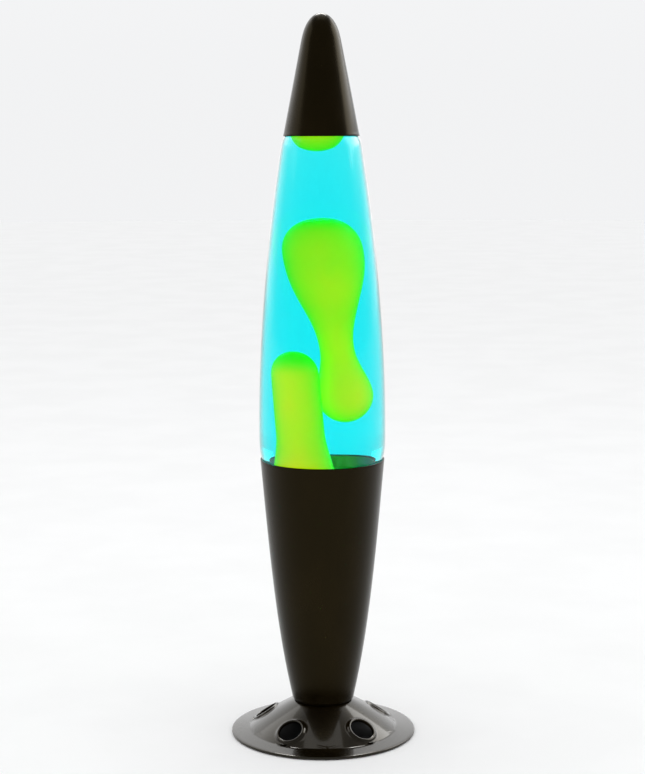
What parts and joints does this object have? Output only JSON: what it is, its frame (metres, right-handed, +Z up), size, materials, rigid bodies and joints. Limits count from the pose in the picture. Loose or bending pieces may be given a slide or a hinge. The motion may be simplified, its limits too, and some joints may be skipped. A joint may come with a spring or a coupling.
{
  "type": "lava lamp",
  "caption": "Lava lamp: a sealed tapered glass bottle of cyan liquid and green wax in a slim black holder on a round vented foot, under a pointed lift-off cap.",
  "frame": {"origin": "centre of the foot's resting plane", "axes": "+Z up along the lamp's axis; -Y is the front; the lead's inlet is at the rear, +Y"},
  "size_m": [0.105, 0.105, 0.406],
  "materials": {
    "foot_paint": "satin black paint on pressed steel",
    "holder_paint": "satin black paint on a spun shell",
    "cap_paint": "satin black paint on a spun shell",
    "rubber": "matt black",
    "plated_steel": "zinc plated",
    "socket_plastic": "moulded off-white lampholder",
    "brass": "plain brass",
    "solder": "dull solder",
    "black_glass": "black glass",
    "bulb_glass": "clear glass, silvered inside its reflector",
    "tungsten": "grey wire",
    "bottle_glass": "clear polished glass",
    "liquid": "clear cyan liquid",
    "wax": "soft yellow-green wax",
    "liner": "pale soft liner",
    "crown_metal": "bright tinplate"
  },
  "bodies": {
    "base": {"foot": "foot_paint", "foot_pad": "rubber", "lead_bush": "rubber", "holder": "holder_paint", "nipple": "plated_steel", "lock_washer": "plated_steel", "lock_nut": "plated_steel", "floor_washer": "plated_steel", "socket_entry_cap": "socket_plastic", "grub_screw": "plated_steel", "contact_carrier": "socket_plastic", "terminals": "brass", "terminal_screws": "plated_steel", "centre_contact": "brass", "screw_shell": "brass", "socket_body": "socket_plastic"},
    "bulb": {"bulb_tip": "solder", "bulb_insulator": "black_glass", "bulb_screw_cap": "brass", "bulb_glass": "bulb_glass", "bulb_stem": "bulb_glass", "bulb_leads": "plated_steel", "filament": "tungsten"},
    "bottle": {"bottle": "bottle_glass", "fluid": "liquid", "wire_coil": "plated_steel", "wax_pool": "wax", "wax_lump": "wax", "crown_liner": "liner", "crown_cap": "crown_metal"},
    "drop": {"wax_drop": "wax"},
    "cap": {"cap": "cap_paint"}
  },
  "joints": [
    {"name": "bottle_lift", "type": "slide", "parent": "base", "child": "bottle", "axis": [0, 0, 1], "range_m": [0, 0.06]},
    {"name": "bulb_lift", "type": "slide", "parent": "base", "child": "bulb", "axis": [0, 0, 1], "range_m": [0, 0.0113]},
    {"name": "cap_lift", "type": "slide", "parent": "bottle", "child": "cap", "axis": [0, 0, 1], "range_m": [0, 0.045]},
    {"name": "drop_rise", "type": "slide", "parent": "bottle", "child": "drop", "axis": [0, 0, 1], "range_m": [0, 0.03], "deforming": ["fluid"]}
  ]
}
